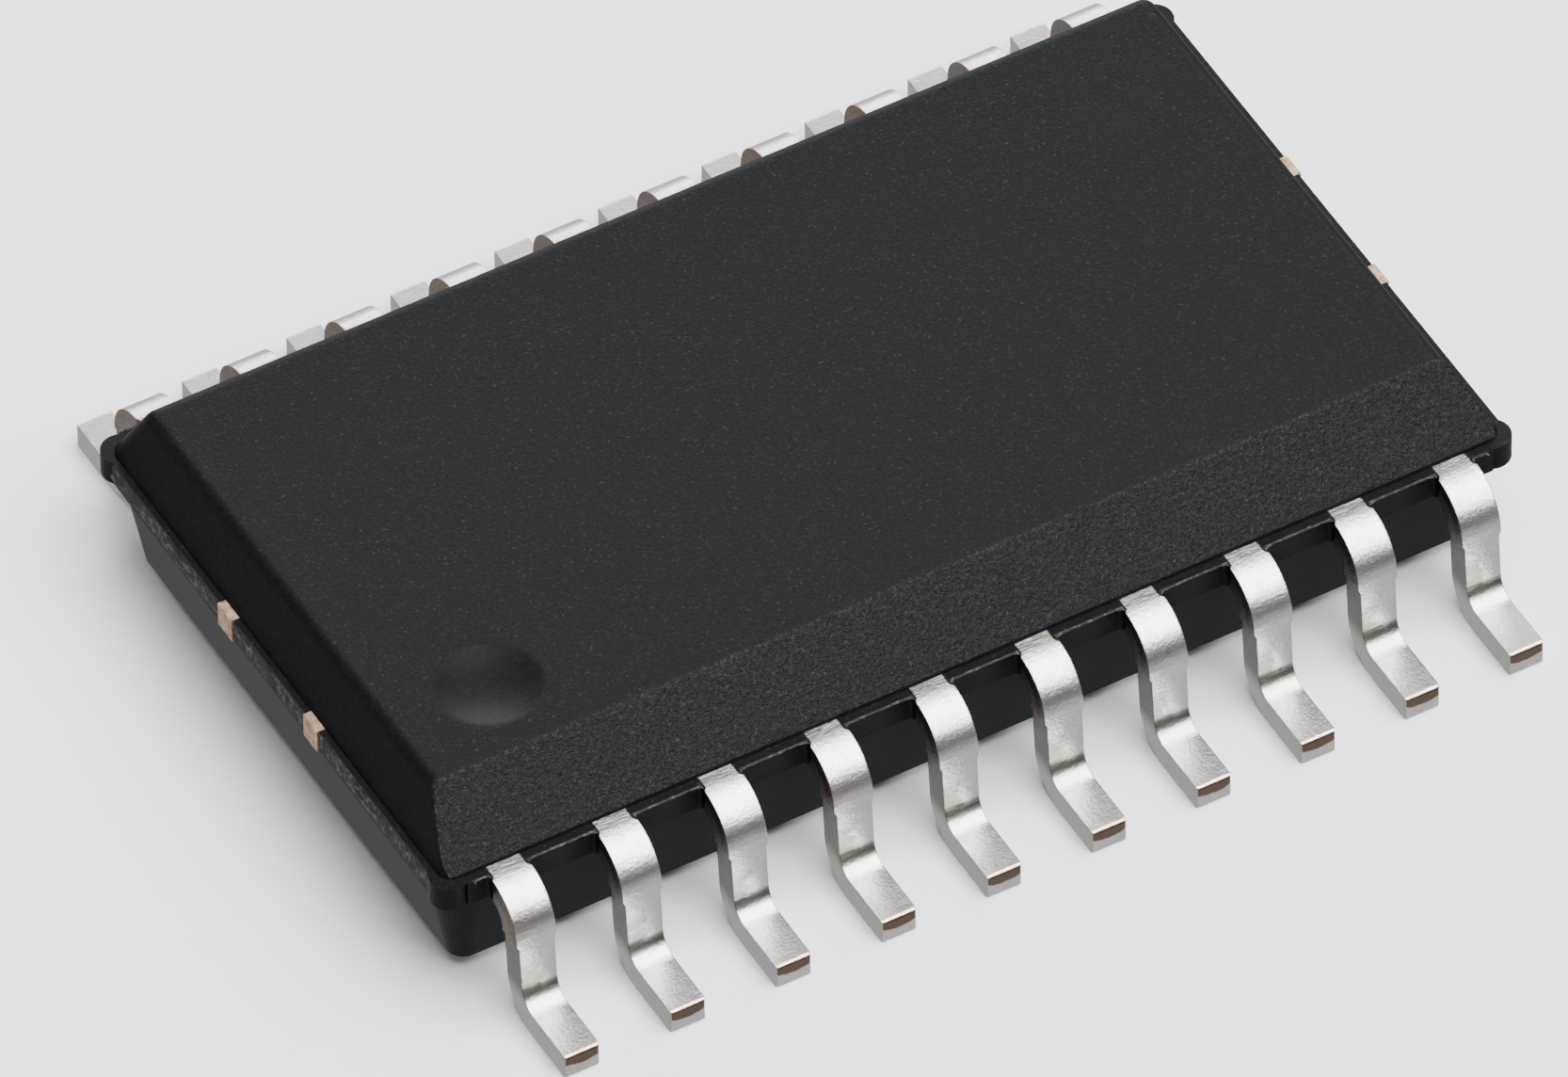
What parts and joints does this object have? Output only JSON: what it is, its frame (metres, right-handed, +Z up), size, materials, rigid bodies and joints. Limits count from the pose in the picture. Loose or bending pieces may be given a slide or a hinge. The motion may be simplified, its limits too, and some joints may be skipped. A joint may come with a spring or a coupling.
{
  "type": "wide-body small-outline integrated circuit package",
  "caption": "Black moulded small-outline chip package with two rows of tinned gull-wing leads, a bevelled long edge and a pin 1 dimple.",
  "frame": {"origin": "on the seating plane, under the middle of the package", "axes": "+X along the long side of the body, pin 1 at -X -Y beside the dimple and the bevelled edge, +Z up"},
  "size_m": [0.013, 0.0106, 0.0023],
  "materials": {
    "mould_compound": "spark-eroded matte epoxy moulding compound",
    "tinned_lead": "satin matte tin plating",
    "bare_copper_alloy": "bare copper alloy strip",
    "die_adhesive": "silver-filled epoxy",
    "silicon": "polished silicon",
    "gold_wire": "drawn gold wire"
  },
  "bodies": {
    "root": {"mould_body": "mould_compound", "die_paddle": "bare_copper_alloy", "die_attach": "die_adhesive", "silicon_die": "silicon", "lead_01": "tinned_lead", "lead_02": "tinned_lead", "lead_03": "tinned_lead", "lead_04": "tinned_lead", "lead_05": "tinned_lead", "lead_06": "tinned_lead", "lead_07": "tinned_lead", "lead_08": "tinned_lead", "lead_09": "tinned_lead", "lead_10": "tinned_lead", "lead_11": "tinned_lead", "lead_12": "tinned_lead", "lead_13": "tinned_lead", "lead_14": "tinned_lead", "lead_15": "tinned_lead", "lead_16": "tinned_lead", "lead_17": "tinned_lead", "lead_18": "tinned_lead", "lead_19": "tinned_lead", "lead_20": "tinned_lead", "bond_wire_01": "gold_wire", "bond_wire_02": "gold_wire", "bond_wire_03": "gold_wire", "bond_wire_04": "gold_wire", "bond_wire_05": "gold_wire", "bond_wire_06": "gold_wire", "bond_wire_07": "gold_wire", "bond_wire_08": "gold_wire", "bond_wire_09": "gold_wire", "bond_wire_10": "gold_wire", "bond_wire_11": "gold_wire", "bond_wire_12": "gold_wire", "bond_wire_13": "gold_wire", "bond_wire_14": "gold_wire", "bond_wire_15": "gold_wire", "bond_wire_16": "gold_wire", "bond_wire_17": "gold_wire", "bond_wire_18": "gold_wire", "bond_wire_19": "gold_wire", "bond_wire_20": "gold_wire"}
  },
  "joints": []
}
